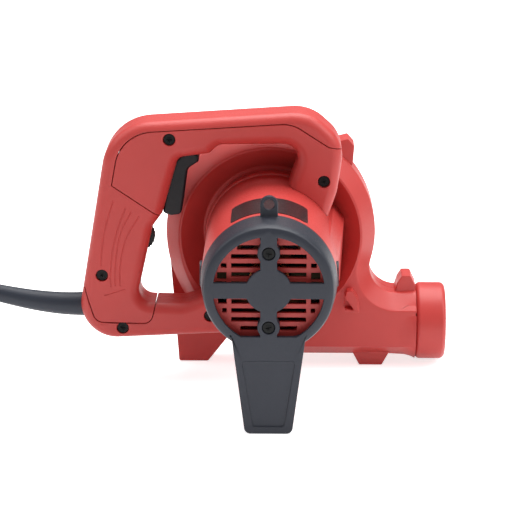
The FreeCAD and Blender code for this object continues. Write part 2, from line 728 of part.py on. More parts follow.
def housing_outside():
    """Scroll, lugs and feet together, before the seam parts them."""
    seam = size("seam_y")
    solid = scroll_solid()
    for angle in (48, 118):
        solid = solid.fuse(lug(angle))
    roof = -size("duct_top")
    x = size("collar_start") + 1.8
    ear = [(x - 15, roof - 2, 0), (x - 12.3, roof + 7, 2), (x - 9.5, roof + 11.5, 1.5),
           (x - 3.6, roof + 11.5, 1.5), (x, roof + 4, 0.5), (x, roof - 2, 0)]
    solid = solid.fuse(slab(ear, seam - 9, seam + 9))
    low = size("scroll_bottom") - size("outlet_drop") - 1.7
    flare = Part.makeCone(low, size("collar_radius") - 0.4, 11.9, Vector(x - 11.9, seam, -size("outlet_drop")),
                          Vector(1, 0, 0))
    solid = solid.fuse(flare)
    floor = -size("axis_height")
    left = [(-68.6, -20, 0), (-63.4, floor, 1.5), (-43.4, floor, 1.5), (-24, -70, 0), (-40, -30, 0)]
    solid = solid.fuse(slab(left, seam - 9, seam + 9))
    base = -size("scroll_bottom")
    right = [(55.6, base + 4, 0), (61.4, floor, 1), (77.0, floor, 1), (83.0, base + 4, 0)]
    return solid.fuse(slab(right, seam - 15, seam + 15))


def air_path():
    """Hollow of the scroll, drawn in behind the far band's slope, and the bore of its duct."""
    wall = size("shell_wall")
    start = size("barrel_end") + wall
    bend = size("far_y") - size("band_depth")
    end = size("far_y") - wall
    reach = size("duct_bore") * 2.4
    inner = scroll_face(wall, start, reach)
    hollow = Part.Face(inner).extrude(Vector(0, bend - start, 0))
    wide = scroll_face(wall, bend, reach)
    narrow = scroll_face(wall + size("band_width"), end, reach)
    hollow = hollow.fuse(Part.makeLoft([wide, narrow], True, True))
    bore = rod(size("duct_bore"), 12, size("collar_start") + 5, size("seam_y"), -size("outlet_drop"))
    return hollow.fuse(bore)


def scroll_halves():
    seam = size("seam_y")
    outside = housing_outside().cut(air_path())
    dish = cone(dish_radius(), dish_floor_radius(), size("rim_y"), size("barrel_end"))
    outside = outside.cut(dish).cut(disc(dish_radius(), size("rim_y") - 5, size("rim_y") + 0.01))
    outside = outside.cut(disc(size("shaft_radius") + 2.5, size("barrel_end") - 1, seam))
    outside = outside.cut(disc(size("intake_radius"), seam + 1, size("far_y") + 1))
    for x, z in lug_places():
        outside = outside.cut(disc(1.65, seam - 6, seam + 8, x, z))
        outside = outside.cut(disc(3.7, seam + 6, seam + 60, x, z))
    half = 400
    near_box = block(-half, half, -half, seam, -half, half)
    far_box = block(-half, half, seam, half, -half, half)
    near = outside.common(near_box)
    fin = slab([(51.6, -36.4, 0.5), (55.2, -35.6, 1.5), (59.0, -41.6, 2), (60.6, -51.6, 0.8),
                (50.6, -51.2, 1), (50.6, -40.2, 0.2)], size("rim_y") - 7, size("rim_y") + 5)
    fin = fin.cut(slab([(50.0, -42.4, 0.4), (52.2, -43.2, 0.6), (56.8, -49.8, 0.6), (50.0, -48.6, 0.4)],
                       size("rim_y") - 8, size("rim_y") - 1))
    near = near.fuse(fin).cut(air_path())
    shaped("volute_near", near.removeSplitter())
    shaped("volute_far", outside.common(far_box).removeSplitter())


def volute_screws():
    seam = size("seam_y")
    screws = [screw(x, seam - 8.6, seam + 3, z, 3.4, 2.5, 1.6) for x, z in lug_places()]
    screws = [one.mirror(Vector(0, seam, 0), Vector(0, 1, 0)) for one in screws]
    shaped("volute_screws", Part.makeCompound(screws))


def outlet_collar():
    """Ring at the duct's end that a nozzle slides over, with a rounded front edge."""
    body = new_body("outlet_collar_body")
    outer = "Sizes.collar_radius"
    edge = "Sizes.collar_edge"
    profile = plane_sketch(body, "CollarProfile", "XY_Plane")
    polygon(profile, [
        ("Sizes.duct_bore", "0"),
        (f"{outer} - {edge}", "0"),
        (outer, edge),
        (outer, f"Sizes.collar_end - Sizes.collar_start - 2 - {edge}"),
        (f"{outer} - {edge}", "Sizes.collar_end - Sizes.collar_start - 2"),
        ("Sizes.collar_bore", "Sizes.collar_end - Sizes.collar_start - 2"),
        ("Sizes.collar_bore", "3"),
        ("Sizes.duct_bore", "3"),
    ])
    revolve(body, "Collar", profile)
    doc.recompute()
    shape = body.Shape.copy()
    shape.rotate(Vector(), Vector(0, 0, 1), -90)
    shape.translate(Vector(size("collar_start") + 2, size("seam_y"), -size("outlet_drop")))
    shaped("outlet_collar", shape)


def intake_grille():
    y0 = size("far_y") + 0.02
    y1 = y0 + 2.5
    outer = size("intake_ring")
    width = size("intake_ring_width")
    grille = ring(outer, size("intake_radius") - 1.5, y0, y1)
    step = 9.6
    for number in range(1, 4):
        radius = number * step - 1
        grille = grille.fuse(ring(radius, radius - size("intake_bar"), y0, y1))
    for turn in range(6):
        bar = block(-size("intake_bar") / 2, size("intake_bar") / 2, y0, y1, 0, outer - width)
        bar.rotate(Vector(), Vector(0, 1, 0), turn * 60 + 15)
        grille = grille.fuse(bar)
    shaped("intake_grille", grille.removeSplitter())


# handle: an open D of three shells on each side of the mid-plane

OUTLINE = [
    (-10, -30, 0), (-14, -60, 8), (-131.5, -66, 24), (-105.9, 82.6, 34), (26, 91.4, 28),
    (48.5, 71, 24), (44, 38, 30), (34, 8, 0), (8, 30, 0), (22.3, 69.9, 10), (-34, 69.2, 8),
    (-39.6, 63.4, 4), (-60.5, 60.5, 6), (-71.4, 22.5, 4), (-78, 13.5, 10), (-89.8, -39.5, 9),
    (-57, -40.4, 14), (-28, -28, 0),
]

GRIP_REGION = [
    (-150, -21, 0), (-123.5, -29, 0), (-116.5, -52, 7), (-80, -52.8, 6), (-73, -26, 0),
    (-64, 14.6, 0), (-104.5, 42.2, 1), (-98.0, 77.4, 26), (14, 84.6, 22), (38, 69, 0),
    (64, 63, 0), (64, 115, 0), (-150, 115, 0),
]

SCREW_PLACES = ((-66.0, 73.4), (35.1, 45.6), (-111.9, -19.5), (-98.7, -56.4), (-40.1, -47.4))


def handle_half(side):
    """Half of the D, its outer edges rounded; side is -1 towards the viewer, 1 away."""
    middle = size("handle_mid_y")
    face = middle + side * size("handle_half")
    y0, y1 = sorted((middle, face))
    solid = slab(OUTLINE, y0, y1)
    rim = [edge for edge in solid.Edges
           if abs(edge.BoundBox.YMin - face) < 1e-3 and abs(edge.BoundBox.YMax - face) < 1e-3]
    return solid.makeFillet(size("handle_round"), rim)


def hollow_for_switch():
    """Room in both halves for the trigger's root, the switch and the lock's stem."""
    half = size("cavity_half")
    middle = size("handle_mid_y")
    outline = [(-45, 60, 0), (-52, 71, 2), (-68, 70, 3), (-83, 62, 3), (-104, 62, 2), (-104, 24, 2),
               (-84, 18, 2), (-62, 18, 0), (-52, 50, 0)]
    return slab(outline, middle - half, middle + half)


def handle_pockets():
    """Cuts shared by the handle's halves for the pieces that they hold."""
    middle = size("handle_mid_y")
    fit = size("fit")
    dial = (size("dial_x"), size("dial_z"))
    tools = [hollow_for_switch()]
    tools.append(disc(size("dial_radius") + 0.5, middle - size("dial_half") - 0.4,
                      middle + size("dial_half") + 0.4, dial[0], dial[1]))
    tools.append(disc(size("dial_pin_radius") + fit, middle - 9, middle + 9, dial[0], dial[1]))
    tools.append(block(-112 - fit, -97 + fit, middle - 8 - fit, middle + 8 + fit, -8 - fit, 15 + fit))
    pin = (size("trigger_pin_x"), size("trigger_pin_z"))
    tools.append(disc(size("pin_radius") + fit, middle - 12, middle + 12, pin[0], pin[1]))
    tools.append(disc(size("lock_radius") + 0.3, middle + size("handle_half") - 11,
                      middle + size("handle_half") + 2, size("lock_x"), size("lock_z") + 3.5))
    root = size("guard_root_radius") + fit
    tools.append(rod(root, -140, -112, middle, -44.5))
    tools.append(rod(root + 2.2, -118.5 - fit, -115 + fit, middle, -44.5))
    return tools


def handle():
    middle = size("handle_mid_y")
    region = Part.Face(rounded_wire(GRIP_REGION, 0))
    wider = region.makeOffset2D(0.5)
    tools = handle_pockets()
    clear = scroll_solid(0.3)
    dish = cone(dish_radius() - 0.6, dish_floor_radius() - 0.6, size("rim_y") - 0.31,
                size("barrel_end"))
    clear = clear.cut(dish)
    barrel = disc(size("barrel_radius") + size("fit"), -5, size("barrel_end") + 5)
    for side, name in ((-1, "near"), (1, "far")):
        solid = handle_half(side)
        for tool in tools:
            solid = solid.cut(tool)
        for x, z in SCREW_PLACES:
            face = middle - size("handle_half")
            if side < 0:
                solid = solid.cut(disc(size("screw_hole_radius"), face - 1,
                                       face + size("screw_hole_depth"), x, z))
                solid = solid.cut(disc(1.65, face - 1, middle + 1, x, z))
            else:
                solid = solid.cut(disc(1.55, middle - 1, middle + 11, x, z))
        solid = solid.cut(clear).cut(barrel)
        depth = Vector(0, 80, 0)
        grip_tool = region.copy()
        grip_tool.translate(Vector(0, middle - 40, 0))
        rest_tool = wider.copy()
        rest_tool.translate(Vector(0, middle - 40, 0))
        grip = solid.common(grip_tool.extrude(depth))
        rest = solid.cut(rest_tool.extrude(depth))
        pieces = sorted(rest.Solids, key=lambda s: s.CenterOfMass.z)
        pieces = [s for s in pieces if s.Volume > 200]
        print(name, "handle pieces", [round(s.Volume) for s in rest.Solids], len(grip.Solids))
        shaped(f"grip_{name}", max(grip.Solids, key=lambda s: s.Volume))
        shaped(f"lower_arm_{name}", pieces[0])
        shaped(f"upper_arm_{name}", pieces[-1])


def handle_screws():
    face = size("handle_mid_y") - size("handle_half")
    top = face + size("screw_hole_depth") - 2.6
    screws = [screw(x, top, size("handle_mid_y") + 9, z, 3.5, 2.55, 1.5) for x, z in SCREW_PLACES]
    shaped("handle_screws", Part.makeCompound(screws))


def trigger():
    """Long paddle hung from a pin at its top; its root reaches back to the switch."""
    middle = size("handle_mid_y")
    half = size("trigger_half")
    paddle = [(-71.2, 21.8, 2.5), (-66.0, 20.0, 3.5), (-58.9, 20.8, 4.0), (-54.4, 52.2, 5.5),
              (-46.8, 57.2, 2.5), (-47.8, 62.4, 2.5), (-57.0, 62.4, 9), (-66.8, 53.4, 11)]
    solid = slab(paddle, middle - half, middle + half)
    solid = solid.makeFillet(1.6, [e for e in solid.Edges if e.BoundBox.YLength < 1e-3
                                   and e.BoundBox.XMax > -58])
    root = [(-56, 60, 1), (-56.6, 69.2, 2.4), (-63.2, 69.2, 2.4), (-73.5, 52, 2), (-77.5, 44, 1.5),
            (-77.5, 34, 1.5), (-66, 32, 0), (-63, 50, 0)]
    solid = solid.fuse(slab(root, middle - half + 2.5, middle + half - 2.5))
    pin = (size("trigger_pin_x"), size("trigger_pin_z"))
    solid = solid.cut(disc(size("pin_radius") + size("running"), middle - 20, middle + 20, *pin))
    shaped("trigger", solid.removeSplitter())
    shaped("trigger_pin", disc(size("pin_radius"), middle - 11.9, middle + 11.9, *pin))


def switch_and_dial():
    middle = size("handle_mid_y")
    half = size("cavity_half") - size("fit")
    case = block(-103.9, -86, middle - half, middle + half, 25, 58)
    button = rod(2.6, -86.01, -84.2, middle, 39)
    shaped("switch_body", case.fuse(button))
    dial = (size("dial_x"), size("dial_z"))
    wheel = disc(size("dial_radius"), middle - size("dial_half"), middle + size("dial_half"), *dial)
    for turn in range(24):
        angle = math.radians(15 * turn)
        reach = size("dial_radius") + 0.35
        wheel = wheel.cut(disc(0.75, middle - 10, middle + 10, dial[0] + reach * math.cos(angle),
                               dial[1] + reach * math.sin(angle)))
    wheel = wheel.cut(disc(size("dial_pin_radius") + size("running"), middle - 10, middle + 10, *dial))
    shaped("speed_dial", wheel)
    shaped("dial_pin", disc(size("dial_pin_radius"), middle - 8.9, middle + 8.9, *dial))
    module = block(-112, -97, middle - 8, middle + 8, -8, 15)
    shaped("speed_module", module)
    face = middle + size("handle_half")
    stem = disc(size("lock_radius"), face - 8, face + size("lock_proud"), size("lock_x"),
                size("lock_z") + 3.5)
    top = [e for e in stem.Edges if e.BoundBox.YMin > face + size("lock_proud") - 0.01]
    shaped("lock_button", stem.makeFillet(1.0, top))


# mains cord: guard, hanging run, coil on the floor and plug

def cord_guard():
    middle = size("handle_mid_y")
    root = size("guard_root_radius")
    tip = size("guard_tip_radius")
    stations = ((-126.0, -44.5, root, 0.0), (-150.0, -43.4, root - 0.8, 5.5),
                (-173.0, -39.6, root - 1.7, 11.0), (-196.0, -34.2, tip, 14.0))
    rings = []
    for x, z, radius, tilt in stations:
        turn = math.radians(tilt)
        across = Part.Circle(Vector(x, middle, z), Vector(-math.cos(turn), 0, math.sin(turn)), radius)
        rings.append(Part.Wire(across.toShape()))
    sleeve = Part.makeLoft(rings, True, False)
    sleeve = sleeve.fuse(rod(root, -126.0, -112.0, middle, -44.5))
    sleeve = sleeve.fuse(rod(root + 2.2, -118.5, -115.0, middle, -44.5))
    shaped("cord_guard", sleeve)


def filleted_path(points):
    """Straight runs joined by arcs as wide as the runs allow."""
    edges = []
    start = points[0]
    radii = []
    for i in range(1, len(points) - 1):
        here = points[i]
        back = points[i - 1] - here
        ahead = points[i + 1] - here
        turn = math.pi - back.getAngle(ahead)
        reach = 0.45 * min(back.Length, ahead.Length)
        radius = reach / math.tan(turn / 2)
        radii.append(round(radius, 1))
        back.normalize()
        ahead.normalize()
        first = here + back * reach
        last = here + ahead * reach
        inward = (back + ahead).normalize()
        deep = radius / math.cos(turn / 2) - radius
        edges.append(Part.LineSegment(start, first).toShape())
        edges.append(Part.Arc(first, here + inward * deep, last).toShape())
        start = last
    edges.append(Part.LineSegment(start, points[-1]).toShape())
    print("cord radii", radii, "length", round(sum(e.Length for e in edges), 1))
    return Part.Wire(edges)


def tube_along(wire, radius):
    start = wire.Edges[0]
    at = start.valueAt(start.FirstParameter)
    along = start.tangentAt(start.FirstParameter)
    section = Part.Wire(Part.Circle(at, along, radius).toShape())
    return wire.makePipeShell([section], True, False)


def biarc(p0, t0, p1, t1):
    """Two arcs that leave p0 along t0 and reach p1 along t1, with equal reaches."""
    v = p1 - p0
    t = t0 + t1
    b = v.dot(t)
    a = 2 * (1 - t0.dot(t1))
    d = (-b + math.sqrt(b * b + a * v.dot(v))) / a
    q0 = p0 + t0 * d
    q1 = p1 - t1 * d
    joint = (q0 + q1) * 0.5
    arcs = []
    for start, corner, end in ((p0, q0, joint), (joint, q1, p1)):
        chord = (start + end) * 0.5
        rise = corner - chord
        half = (end - start).Length / 2
        turn = 2 * math.atan2(rise.Length, half)
        rise.normalize()
        arcs.append(Part.Arc(start, chord + rise * (half * math.tan(turn / 4)), end).toShape())
    return arcs


def coil_path():
    """Two layers: inwards on the floor, up a layer, then outwards again to the right."""
    centre = Vector(size("coil_x"), size("coil_y"), 0)
    low = size("cord_radius") - size("axis_height")
    radii = [size("coil_radius")]
    heights = [low]
    for step in range(7):
        radii.append(radii[-1] - size("coil_pitch") / 2)
        heights.append(low)
    radii.append(radii[-1])
    heights.append(low + size("coil_rise"))
    for step in range(5):
        radii.append(radii[-1] + size("coil_pitch") / 2)
        heights.append(heights[-1])
    edges = []
    for i in range(len(radii) - 1):
        side = -1 if i % 2 == 0 else 1
        p0 = centre + Vector(side * radii[i], 0, heights[i])
        p1 = centre + Vector(-side * radii[i + 1], 0, heights[i + 1])
        t0 = Vector(0, -side, 0)
        edges += biarc(p0, t0, p1, t0 * -1)
    path = Part.Wire(edges)
    samples = []
    for edge in edges:
        span = edge.LastParameter - edge.FirstParameter
        samples += [edge.valueAt(edge.FirstParameter + span * k / 24) for k in range(24)]
    least = 1e9
    for i, a in enumerate(samples):
        for b in samples[i + 20:]:
            least = min(least, a.distanceToPoint(b))
    print("coil length", round(path.Length, 1), "least gap", round(least - 2 * size("cord_radius"), 2))
    return path


def cord():
    middle = size("handle_mid_y")
    low = size("cord_radius") - size("axis_height")
    start_x = size("coil_x") - size("coil_radius")
    start_y = size("coil_y")
    points = [Vector(-196.0, middle, -34.2), Vector(-220.0, middle, -28.2),
              Vector(-247.0, 109.5, -30.5), Vector(-273.0, 112.5, -42.0),
              Vector(-296.0, 119.0, -60.0), Vector(-313.0, 134.0, -79.0),
              Vector(start_x, 161.0, low), Vector(start_x, start_y, low)]
    path = filleted_path(points)
    tube = tube_along(path, size("cord_radius"))
    section = math.pi * size("cord_radius") ** 2
    print("cord volume over section times length", round(tube.Volume / section / path.Length, 5))
    shaped("cord_run", tube)
    shaped("cord_coil", tube_along(coil_path(), size("cord_radius")))
    high = low + size("coil_rise")
    tail_x = size("coil_x") + size("coil_radius") - size("coil_pitch")
    end_y = start_y - size("tail_length")
    shaped("cord_tail", disc(size("cord_radius"), end_y, start_y, tail_x, high))
    return tail_x, end_y, high


def plug(x, y, z):
    """Moulded two-pin plug lying beside the coil, on the end of the cord."""
    relief = cone(size("cord_radius") + 3.2, size("cord_radius") + 1.0, y - 16, y, x, z)
    tall = size("cord_radius") + size("coil_rise")
    length = size("plug_length")
    wide = size("pin_spacing") / 2 + 7.5
    body = block(x - wide, x + wide, y - 16 - length, y - 15.9, z - tall, z + tall)
    body = body.makeFillet(5.0, [e for e in body.Edges if e.BoundBox.YLength > length - 1])
    shaped("plug_body", relief.fuse(body))
    end = y - 16 - length
    pins = []
    for side in (-1, 1):
        pin = disc(size("plug_pin_radius"), end - size("pin_length"), end, x + side * size("pin_spacing") / 2, z)
        tip = [e for e in pin.Edges if e.BoundBox.YMax < end - size("pin_length") + 0.01]
        pins.append(pin.makeFillet(1.2, tip))
    shaped("plug_pins", Part.makeCompound(pins))


def cover_screws():
    offset = size("cover_screw_offset")
    top = size("screw_recess_depth") - 2.0
    screws = [screw(0, top, size("grille_y") + 10, z, 3.5, 1.95, 1.6) for z in (offset, -offset)]
    shaped("cover_screws", Part.makeCompound(screws))


tie("rear_cover", rear_cover(), cover_details)
cover_screws()
tie("motor_housing", motor_housing(), barrel_details)
shaped("end_grille", end_grille())
shaped("bearing_bracket", bearing_bracket())
shaped("rear_bearing", bearing(size("rear_bearing_radius"), size("shaft_rear") + 1.5,
                               size("rear_bearing_width")))
shaped("front_bearing", bearing(size("front_bearing_radius"), size("front_bearing_y"),
                                size("front_bearing_width")))
shaped("stator_core", stator())
shaped("field_coils", field_coils())
brush_gear()
rotor()
fan()
fan_fixings()
scroll_halves()
volute_screws()
outlet_collar()
intake_grille()
handle()
handle_screws()
trigger()
switch_and_dial()
cord_guard()
plug(*cord())

doc.recompute()
for piece in doc.Objects:
    if "Invalid" in piece.State or "Error" in piece.State:
        raise RuntimeError(f"{piece.Name} did not build: {piece.State}")
os.makedirs("parts", exist_ok=True)
for piece in parts:
    shape = piece.Shape
    if shape.isNull() or not shape.isValid():
        raise RuntimeError(f"{piece.Label} has no valid shape")
    shape.exportStep(f"parts/{piece.Label}.step")
    print(piece.Label, len(shape.Solids), round(shape.Volume))
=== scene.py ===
import json
import math

import bmesh
import bpy
from mathutils import Matrix, Vector
from mathutils.bvhtree import BVHTree


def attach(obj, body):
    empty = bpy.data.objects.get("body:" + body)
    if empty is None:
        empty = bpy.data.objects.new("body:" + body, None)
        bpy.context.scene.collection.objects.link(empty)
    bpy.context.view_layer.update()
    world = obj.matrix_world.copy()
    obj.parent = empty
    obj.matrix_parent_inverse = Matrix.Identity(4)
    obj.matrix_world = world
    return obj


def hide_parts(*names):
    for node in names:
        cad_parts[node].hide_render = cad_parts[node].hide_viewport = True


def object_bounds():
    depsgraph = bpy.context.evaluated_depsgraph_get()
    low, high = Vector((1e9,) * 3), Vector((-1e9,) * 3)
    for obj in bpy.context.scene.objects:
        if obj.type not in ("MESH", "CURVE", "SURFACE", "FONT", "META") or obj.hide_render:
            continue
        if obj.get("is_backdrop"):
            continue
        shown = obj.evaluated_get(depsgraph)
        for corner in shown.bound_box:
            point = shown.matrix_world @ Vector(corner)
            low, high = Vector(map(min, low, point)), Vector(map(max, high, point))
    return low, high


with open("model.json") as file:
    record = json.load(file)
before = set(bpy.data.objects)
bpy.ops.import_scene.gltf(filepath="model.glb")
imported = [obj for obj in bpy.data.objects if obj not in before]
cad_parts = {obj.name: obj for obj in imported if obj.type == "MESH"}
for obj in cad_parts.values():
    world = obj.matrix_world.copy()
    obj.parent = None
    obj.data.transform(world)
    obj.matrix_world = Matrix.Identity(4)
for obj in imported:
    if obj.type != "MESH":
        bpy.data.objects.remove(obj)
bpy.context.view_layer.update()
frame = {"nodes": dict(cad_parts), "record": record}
scene = bpy.context.scene
scene.view_settings.view_transform = "Standard"
print("frame loaded:", len(frame["nodes"]), "nodes")

mm = 0.001
axisHeight = 94.8  # motor axis above the floor, in millimetres
axisPlace = Vector((3.2, -84.6, axisHeight))
barrelRadius = 43.1


# A point given in millimetres from the motor axis and the cover's face, in metres.
def at(x, y, z):
    return (Vector((x, y, z)) + axisPlace) * mm


# A screen colour such as "#C4403C" as a linear one.
def linear(code):
    steps = []
    for start in (1, 3, 5):
        share = int(code[start:start + 2], 16) / 255
        steps.append(share / 12.92 if share <= 0.04045 else ((share + 0.055) / 1.055) ** 2.4)
    return (*steps, 1.0)


# An object with the data given, put in the scene.
def linked(name, data):
    thing = bpy.data.objects.new(name, data)
    scene.collection.objects.link(thing)
    return thing


# A node with its settings, its sockets' values and its incoming links.
def addNode(tree, kind, values=None, sources=None, **settings):
    node = tree.nodes.new(kind)
    for key, value in settings.items():
        setattr(node, key, value)
    for socket, value in (values or {}).items():
        node.inputs[socket].default_value = value
    for socket, source in (sources or {}).items():
        tree.links.new(source, node.inputs[socket])
    return node


# camera

cameraLook = {"place": (0.0153, -1.2594, 0.4774), "tilt": 73.0, "roll": 0.0, "turn": 1.0,
              "lens": 141.18, "sensor": 36.0, "reach": 20.0}
cameraData = bpy.data.cameras.new("photoCamera")
cameraData.lens = cameraLook["lens"]
cameraData.sensor_width = cameraLook["sensor"]
cameraData.clip_end = cameraLook["reach"]
camera = linked("photoCamera", cameraData)
camera.location = cameraLook["place"]
camera.rotation_euler = [math.radians(cameraLook[k]) for k in ("tilt", "roll", "turn")]
scene.camera = camera


# materials

# Grain and cloud are sizes in millimetres. A moulded texture's real grain of about 0.1 is too fine
# to show, so that it is drawn ten times as coarse. Stretch draws the grain out along an axis.
commonLook = {"grain": 1.0526, "stretch": (1.0, 1.0, 1.0), "cloud": 26.316, "mottle": 0.04,
              "relief": 0.12, "depth": 0.0002, "metal": 0.0, "ior": 1.47, "shine": 0.5,
              "coat": 0.0, "smoother": 0.05, "rougher": 0.07}
noiseRange = {"From Min": 0.3, "From Max": 0.7}  # where nearly all of a noise lies
finishLooks = {
    # ABS, coloured through and moulded in a finely textured tool: even satin with soft highlights
    "red_shell": {"name": "mouldedAbs", "colour": "#C4403C", "rough": 0.43, "mottle": 0.03,
                  "relief": 0.10},
    # glass-filled nylon, moulded in a textured tool: satin, a shade duller than the shells
    "dark_cover": {"name": "mouldedGreyNylon", "colour": "#2B2E38", "rough": 0.47, "shine": 0.42,
                   "mottle": 0.05},
    # nylon, moulded in a smooth tool: dark with a weak sheen
    "black_plastic": {"name": "mouldedBlackNylon", "colour": "#141317", "rough": 0.46,
                      "shine": 0.3, "mottle": 0.08},
    # glass-filled nylon of the fan, as moulded: dull black with a slight mottle
    "fan_plastic": {"name": "mouldedFilledNylon", "colour": "#262628", "rough": 0.5,
                    "mottle": 0.08},
    # steel screws with a black oxide coat: hardly any shine
    "black_steel": {"name": "blackOxideSteel", "colour": "#09090A", "rough": 0.55, "shine": 0.25,
                    "mottle": 0.1},
    # steel, turned: bright, with uneven gloss from the tool
    "steel": {"name": "turnedSteel", "colour": "#A8AAAC", "rough": 0.3, "metal": 1.0,
              "grain": 1.4286, "relief": 0.05},
    # bearing steel, ground: the smoothest metal here
    "bearing_steel": {"name": "groundSteel", "colour": "#BABCBE", "rough": 0.22, "metal": 1.0,
                      "relief": 0.03},
    # sheet steel, stacked: lines across the stack, near the sheets' own half millimetre
    "lamination": {"name": "stackedSheetSteel", "colour": "#424447", "rough": 0.42, "metal": 1.0,
                   "grain": 2.0, "stretch": (0.05, 6.0, 0.05), "relief": 0.4},
    # aluminium, die cast and in the shade of the housing: dull grey
    "cast_metal": {"name": "castAluminium", "colour": "#5C5E60", "rough": 0.5, "metal": 0.9,
                   "relief": 0.2},
    # copper wire, enamelled and wound: dark brown and ribbed, coarser than its half millimetre
    "copper_wire": {"name": "woundCopper", "colour": "#5C3422", "rough": 0.34, "metal": 0.85,
                    "grain": 2.381, "stretch": (1.0, 0.08, 1.0), "relief": 0.5},
    # copper, turned: warm and bright
    "copper_bar": {"name": "turnedCopper", "colour": "#B8704A", "rough": 0.26, "metal": 1.0},
    # brass, drawn and dulled: colour darker than clean brass, with painted shade where slots show it
    "brass": {"name": "agedBrass", "colour": "#3E3422", "rough": 0.45, "metal": 0.8,
              "relief": 0.04},
    # carbon, pressed: matt and slightly crumbly
    "carbon": {"name": "pressedCarbon", "colour": "#1E1E20", "rough": 0.62, "mottle": 0.12,
               "relief": 0.3},
    # PVC of cord, guard and plug, drawn or moulded: blue grey and soft to the eye
    "rubber": {"name": "softPvc", "colour": "#2A2F3A", "rough": 0.5, "shine": 0.42,
               "mottle": 0.05, "relief": 0.10},
}
# polyester film under varnish: smoother and a little glossier than what it is stuck to
labelFinishLook = {"name": "varnishedFilm", "colour": "#1C1B1E", "rough": 0.33, "mottle": 0.05,
                   "relief": 0.04, "coat": 0.1, "coatRough": 0.3}


# An empty material and its shader.
def newMaterial(name):
    material = bpy.data.materials.new(name)
    material.use_nodes = True
    tree = material.node_tree
    tree.nodes.clear()
    output = addNode(tree, "ShaderNodeOutputMaterial")
    shader = addNode(tree, "ShaderNodeBsdfPrincipled")
    tree.links.new(shader.outputs["BSDF"], output.inputs["Surface"])
    return material, tree, shader, output


# Plastic, rubber or metal with a fine grain, a slow change of tone and uneven gloss.
def finishMaterial(look):
    look = {**commonLook, **look}
    material, tree, shader, output = newMaterial(look["name"])
    colour = linear(look["colour"])
    darker = tuple(c * (1 - look["mottle"]) for c in colour[:3]) + (1.0,)
    paler = tuple(min(1.0, c * (1 + look["mottle"])) for c in colour[:3]) + (1.0,)
    noises = {}
    for key, detail, stretch in (("cloud", 4.0, (1.0, 1.0, 1.0)), ("grain", 2.0, look["stretch"])):
        where = addNode(tree, "ShaderNodeTexCoord")
        mapping = addNode(tree, "ShaderNodeMapping", {"Scale": stretch},
                          {"Vector": where.outputs["Object"]})
        noise = addNode(tree, "ShaderNodeTexNoise", {"Scale": 1 / (look[key] * mm), "Detail": detail},
                        {"Vector": mapping.outputs["Vector"]})
        noises[key] = noise.outputs["Fac"]
    tone = addNode(tree, "ShaderNodeMapRange",
                   {**noiseRange, "To Min": 0.0, "To Max": 1.0}, {"Value": noises["cloud"]})
    mix = addNode(tree, "ShaderNodeMix", {"A": darker, "B": paler},
                  {"Factor": tone.outputs["Result"]}, data_type="RGBA")
    gloss = addNode(tree, "ShaderNodeMapRange",
                    {**noiseRange, "To Min": look["rough"] - look["smoother"],
                     "To Max": look["rough"] + look["rougher"]}, {"Value": noises["grain"]})
    bump = addNode(tree, "ShaderNodeBump", {"Strength": look["relief"], "Distance": look["depth"]},
                   {"Height": noises["grain"]})
    tree.links.new(mix.outputs["Result"], shader.inputs["Base Color"])
    tree.links.new(gloss.outputs["Result"], shader.inputs["Roughness"])
    tree.links.new(bump.outputs["Normal"], shader.inputs["Normal"])
    shader.inputs["Metallic"].default_value = look["metal"]
    if not look["metal"]:
        shader.inputs["IOR"].default_value = look["ior"]
    shader.inputs["Specular IOR Level"].default_value = look["shine"]
    if look["coat"]:
        shader.inputs["Coat Weight"].default_value = look["coat"]
        shader.inputs["Coat Roughness"].default_value = look["coatRough"]
    return material


finishes = {slotName: finishMaterial(look) for slotName, look in finishLooks.items()}
labelFinish = finishMaterial(labelFinishLook)
slotOf = {piece["node"]: piece["material_slot"] for piece in frame["record"]["subparts"]}
for name, node in frame["nodes"].items():
    node.data.materials.clear()
    node.data.materials.append(finishes[slotOf.get(name, "red_shell")])
print("materials set on", len(frame["nodes"]), "nodes")


# building helpers

weld = 2e-6  # corners closer than this, in metres, are one
softLook = {"angle": 34.0, "segments": 2, "thrown": 0.7}


# Puts a finished mesh in the scene as a piece that rides on a body. Weighted normals keep its
# flat faces flat to the eye beside rounded edges.
def place(label, mesh, slotName, body, *replaced, finish=None, angle=30.0):
    mesh.name = label
    mesh.materials.clear()
    mesh.materials.append(finish or finishes[slotName])
    for polygon in mesh.polygons:
        polygon.use_smooth = True
    mesh.set_sharp_from_angle(angle=math.radians(angle))
    piece = linked(label, mesh)
    weighted = piece.modifiers.new("Weighted Normal", "WEIGHTED_NORMAL")
    weighted.keep_sharp = True
    if replaced:
        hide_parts(*replaced)
    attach(piece, body)


# The mesh after one modifier with the values given.
def applied(mesh, kind, values):
    carrier = linked("carrier", mesh)
    modifier = carrier.modifiers.new(kind.title(), kind)
    for key, value in values.items():
        setattr(modifier, key, value)
    ready = carrier.evaluated_get(bpy.context.evaluated_depsgraph_get())
    made = bpy.data.meshes.new_from_object(ready)
    bpy.data.objects.remove(carrier)
    return made


# The mesh with the cutter's room taken out of it.
def cutBy(mesh, cutterMesh):
    cutter = linked("cutter", cutterMesh)
    cut = applied(mesh, "BOOLEAN", {"operation": "DIFFERENCE", "solver": "EXACT", "object": cutter})
    bpy.data.objects.remove(cutter)
    return cut


# The worked shape as a mesh with its faces outwards.
def meshFrom(work, name):
    bmesh.ops.recalc_face_normals(work, faces=work.faces)
    mesh = bpy.data.meshes.new(name)
    work.to_mesh(mesh)
    work.free()
    return mesh


# A search tree over the faces of the meshes given.
def surfaceOf(*meshes):
    work = bmesh.new()
    for mesh in meshes:
        work.from_mesh(mesh)
    tree = BVHTree.FromBMesh(work)
    work.free()
    return tree


